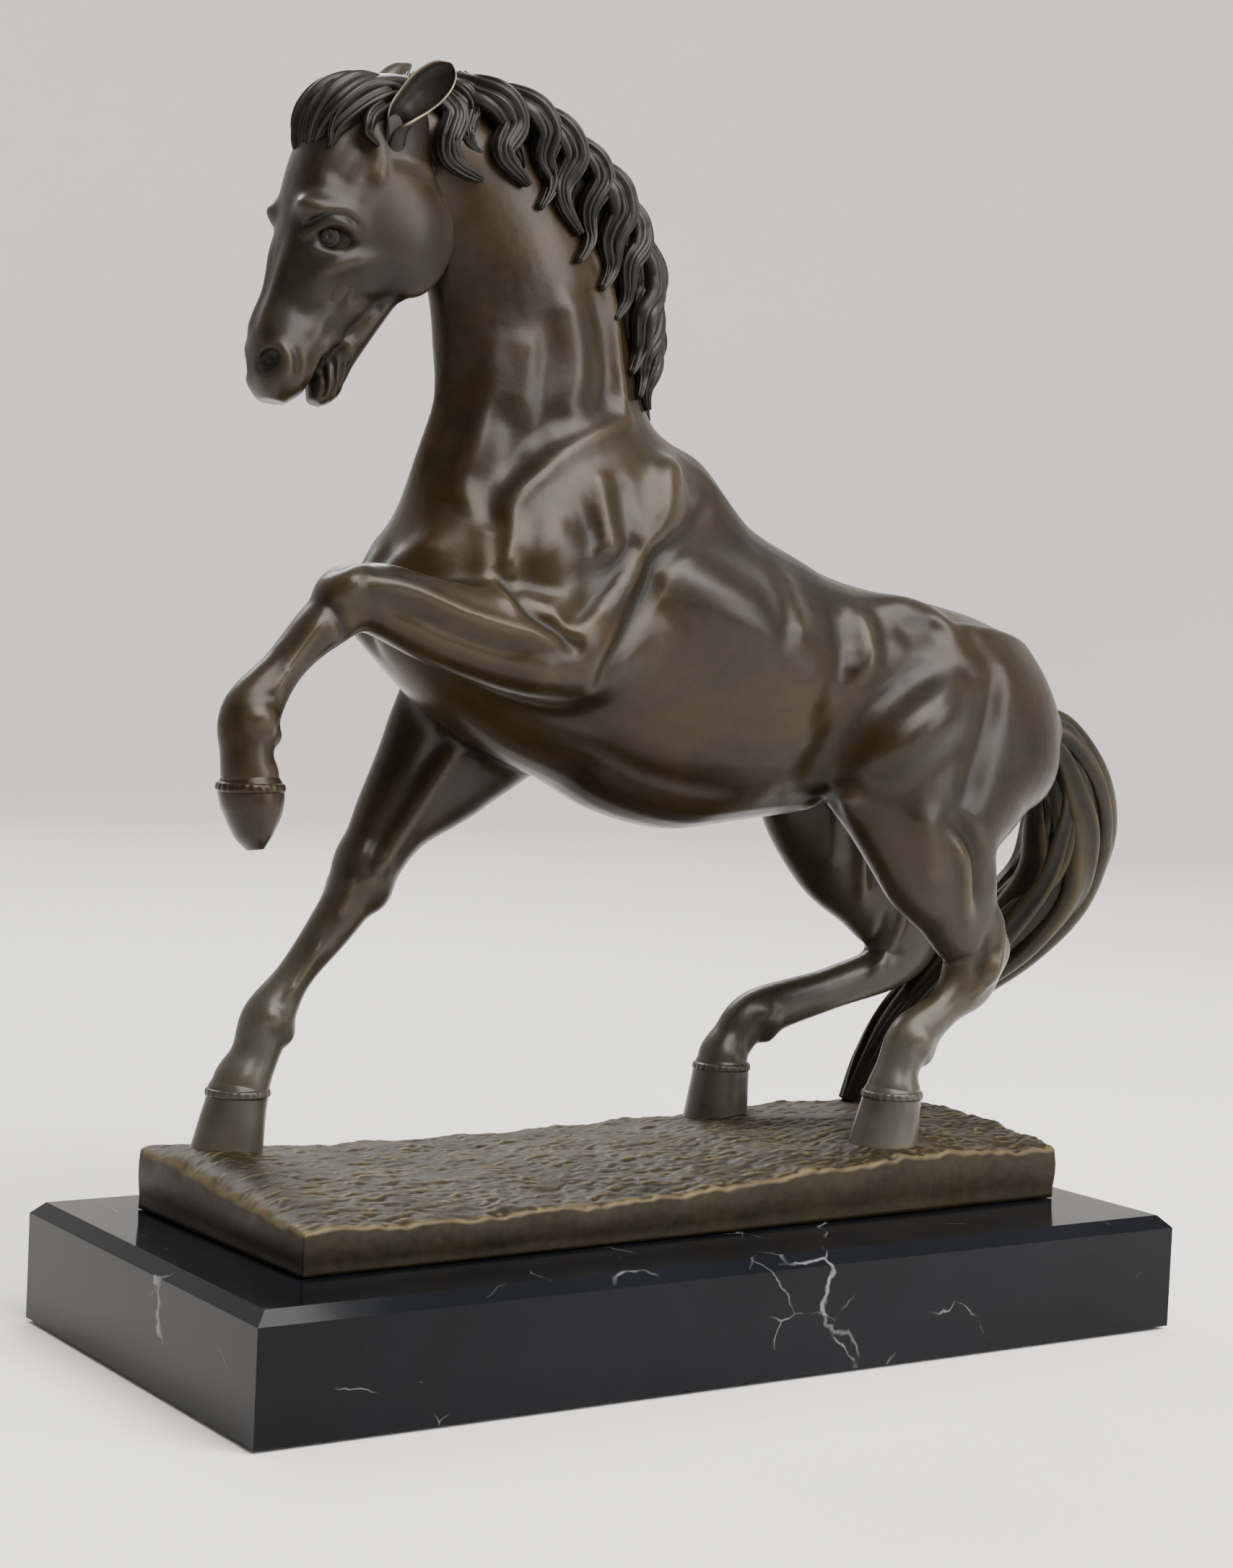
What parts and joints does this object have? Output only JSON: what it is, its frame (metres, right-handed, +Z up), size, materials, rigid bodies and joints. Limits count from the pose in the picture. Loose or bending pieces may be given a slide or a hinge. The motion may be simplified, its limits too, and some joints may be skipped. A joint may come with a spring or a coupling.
{
  "type": "horse statuette",
  "caption": "Patinated bronze horse with one foreleg raised, standing on a rough cast ground plate bolted to a chamfered black marble slab.",
  "frame": {"origin": "middle of the underside, on the surface that the statuette stands on", "axes": "+Z up, X along the slab's length with the horse facing -X, and its left side towards -Y"},
  "size_m": [0.3013, 0.125, 0.3103],
  "materials": {
    "bronze": "satin brown-olive patina over cast bronze",
    "dark_bronze": "near-black patina with rubbed edges",
    "marble": "polished black with thin white veins",
    "steel": "zinc plated",
    "felt": "pressed felt"
  },
  "bodies": {
    "root": {"felt_base": "felt", "forelock": "dark_bronze", "front_nut": "steel", "front_stud": "steel", "front_washer": "steel", "ground_plate": "bronze", "head": "bronze", "left_ear": "bronze", "left_fore_hoof": "bronze", "left_fore_shank": "bronze", "left_forearm": "bronze", "left_gaskin": "bronze", "left_hind_hoof": "bronze", "left_hind_shank": "bronze", "left_mane_lock_1": "dark_bronze", "left_mane_lock_2": "dark_bronze", "left_mane_lock_3": "dark_bronze", "left_mane_lock_4": "dark_bronze", "left_mane_lock_5": "dark_bronze", "lower_jaw": "bronze", "lower_tail": "dark_bronze", "mane_crest": "dark_bronze", "marble_plinth": "marble", "neck": "bronze", "rear_nut": "steel", "rear_stud": "steel", "rear_washer": "steel", "right_ear": "bronze", "right_fore_hoof": "bronze", "right_fore_shank": "bronze", "right_forearm": "bronze", "right_gaskin": "bronze", "right_hind_hoof": "bronze", "right_hind_shank": "bronze", "right_mane_lock_1": "dark_bronze", "right_mane_lock_2": "dark_bronze", "right_mane_lock_3": "dark_bronze", "right_mane_lock_4": "dark_bronze", "right_mane_lock_5": "dark_bronze", "torso": "bronze", "upper_tail": "dark_bronze"}
  },
  "joints": []
}
